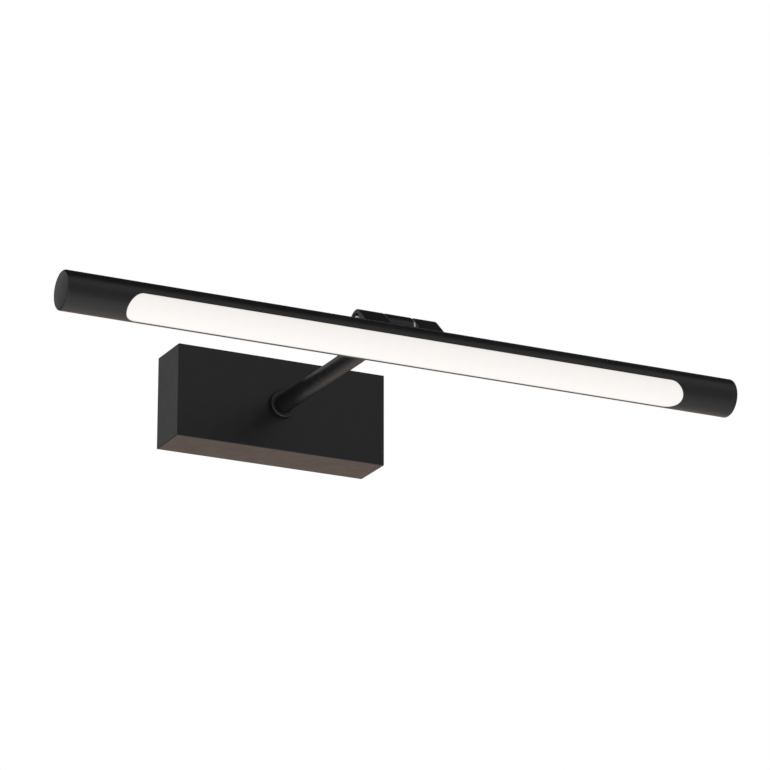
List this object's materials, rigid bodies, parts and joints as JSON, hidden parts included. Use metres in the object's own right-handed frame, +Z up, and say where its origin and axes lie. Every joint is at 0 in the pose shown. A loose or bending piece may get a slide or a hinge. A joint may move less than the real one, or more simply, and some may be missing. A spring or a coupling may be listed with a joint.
{
  "type": "picture light",
  "caption": "Wall-mounted picture light: a slim round lamp tube with a long opal window, tilting on a friction hinge at the end of a straight arm from a flat rectangular wall box.",
  "frame": {"origin": "middle of the wall box's back face, on the wall's surface", "axes": "+Y into the wall, -Y into the room, +X to the right along the lamp tube, +Z up"},
  "size_m": [0.4628, 0.2314, 0.0634],
  "materials": {
    "powder_black": "satin black powder coat, fine even texture",
    "zinc_steel": "zinc-plated steel, bright",
    "bright_steel": "turned stainless steel",
    "aluminium": "extruded, natural",
    "opal_diffuser": "opal translucent cover, lit warm white",
    "board_white": "white solder mask on a metal-core board",
    "led_package": "LED package, phosphor yellow",
    "board_green": "green solder mask",
    "driver_parts": "wound core, capacitors and heat sink",
    "driver_plastic": "moulded polycarbonate, fine spark texture",
    "terminal_plastic": "moulded nylon",
    "connector_plastic": "moulded connector",
    "black_rubber": "moulded rubber",
    "core_brown": "soft sleeve on a single core",
    "core_blue": "soft sleeve on a single core",
    "core_green_yellow": "soft sleeve, green and yellow",
    "lead_sheath": "soft white sheath of the lamp lead"
  },
  "bodies": {
    "wall_bracket": {"wall_plate": "zinc_steel", "cable_bush": "black_rubber", "housing": "powder_black", "housing_screws": "powder_black", "driver_case": "driver_plastic", "driver_lid": "driver_plastic", "driver_board": "board_green", "driver_parts": "driver_parts", "driver_screws": "zinc_steel", "terminal_block": "terminal_plastic", "terminal_screws": "zinc_steel", "terminal_fixing_screws": "zinc_steel", "live_core": "core_brown", "neutral_core": "core_blue", "earth_core": "core_green_yellow", "earth_tag": "zinc_steel", "earth_screw": "zinc_steel", "arm_collar": "powder_black", "arm_tube": "powder_black", "arm_lock_washer": "zinc_steel", "arm_lock_nut": "zinc_steel", "arm_lead": "lead_sheath", "arm_knuckle": "powder_black", "arm_grub_screw": "powder_black"},
    "lamp_head": {"hinge_ear_left": "powder_black", "hinge_ear_right": "powder_black", "ear_screws": "zinc_steel", "hinge_bolt": "bright_steel", "hinge_nut": "zinc_steel", "hinge_washer_left": "bright_steel", "hinge_washer_right": "bright_steel", "lamp_tube": "powder_black", "end_cap_left": "powder_black", "end_cap_right": "powder_black", "diffuser": "opal_diffuser", "led_tray": "aluminium", "led_board": "board_white", "led_chips": "led_package", "board_screws": "zinc_steel", "board_connector": "connector_plastic", "tube_grommet": "black_rubber", "head_lead": "lead_sheath"}
  },
  "joints": [
    {"name": "head_tilt", "type": "hinge", "parent": "wall_bracket", "child": "lamp_head", "pos_m": [0, -0.2006, 0], "axis": [1, 0, 0], "range_deg": [-45, 80]}
  ]
}
